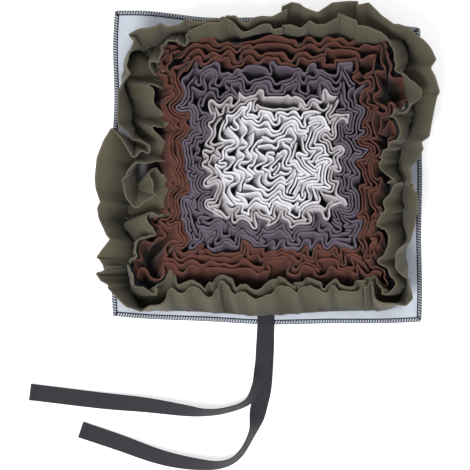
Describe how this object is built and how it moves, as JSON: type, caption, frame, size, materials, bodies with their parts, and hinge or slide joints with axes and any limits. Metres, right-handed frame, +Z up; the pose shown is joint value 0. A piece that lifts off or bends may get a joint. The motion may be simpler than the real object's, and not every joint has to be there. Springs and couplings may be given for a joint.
{
  "type": "snuffle mat",
  "caption": "Square felt pet mat with nested squares of gathered fleece ruffles that hide dry food, and a pair of flat webbing ties at one edge.",
  "frame": {"origin": "middle of the felt base's underside, on the floor", "axes": "+X to the mat's right, +Y to its top edge, away from the ties, and +Z up from the floor"},
  "size_m": [0.6031, 0.6936, 0.0683],
  "materials": {
    "felt": "pressed felt, matt",
    "olive_fleece": "short-pile fleece, matt",
    "brown_fleece": "short-pile fleece, matt",
    "purple_fleece": "short-pile fleece, matt",
    "grey_fleece": "short-pile fleece, matt",
    "white_fleece": "short-pile fleece, matt",
    "webbing": "ribbed woven webbing, matt"
  },
  "bodies": {
    "root": {"base": "felt", "ruffle_brown_1_bottom": "brown_fleece", "ruffle_brown_1_left": "brown_fleece", "ruffle_brown_1_right": "brown_fleece", "ruffle_brown_1_top": "brown_fleece", "ruffle_brown_2_bottom": "brown_fleece", "ruffle_brown_2_left": "brown_fleece", "ruffle_brown_2_right": "brown_fleece", "ruffle_brown_2_top": "brown_fleece", "ruffle_grey_1_bottom": "grey_fleece", "ruffle_grey_1_left": "grey_fleece", "ruffle_grey_1_right": "grey_fleece", "ruffle_grey_1_top": "grey_fleece", "ruffle_olive_left": "olive_fleece", "ruffle_olive_lower": "olive_fleece", "ruffle_olive_right": "olive_fleece", "ruffle_purple_1_bottom": "purple_fleece", "ruffle_purple_1_left": "purple_fleece", "ruffle_purple_1_right": "purple_fleece", "ruffle_purple_1_top": "purple_fleece", "ruffle_purple_2_bottom": "purple_fleece", "ruffle_purple_2_left": "purple_fleece", "ruffle_purple_2_right": "purple_fleece", "ruffle_purple_2_top": "purple_fleece", "ruffle_white_1_bottom": "white_fleece", "ruffle_white_1_left": "white_fleece", "ruffle_white_1_right": "white_fleece", "ruffle_white_1_top": "white_fleece", "ruffle_white_2_bottom": "white_fleece", "ruffle_white_2_left": "white_fleece", "ruffle_white_2_right": "white_fleece", "ruffle_white_2_top": "white_fleece", "ruffle_white_3_bottom": "white_fleece", "ruffle_white_3_left": "white_fleece", "ruffle_white_3_right": "white_fleece", "ruffle_white_3_top": "white_fleece", "ruffle_white_4_left": "white_fleece", "ruffle_white_4_right": "white_fleece", "tie_lower": "webbing", "tie_upper": "webbing"}
  },
  "joints": []
}
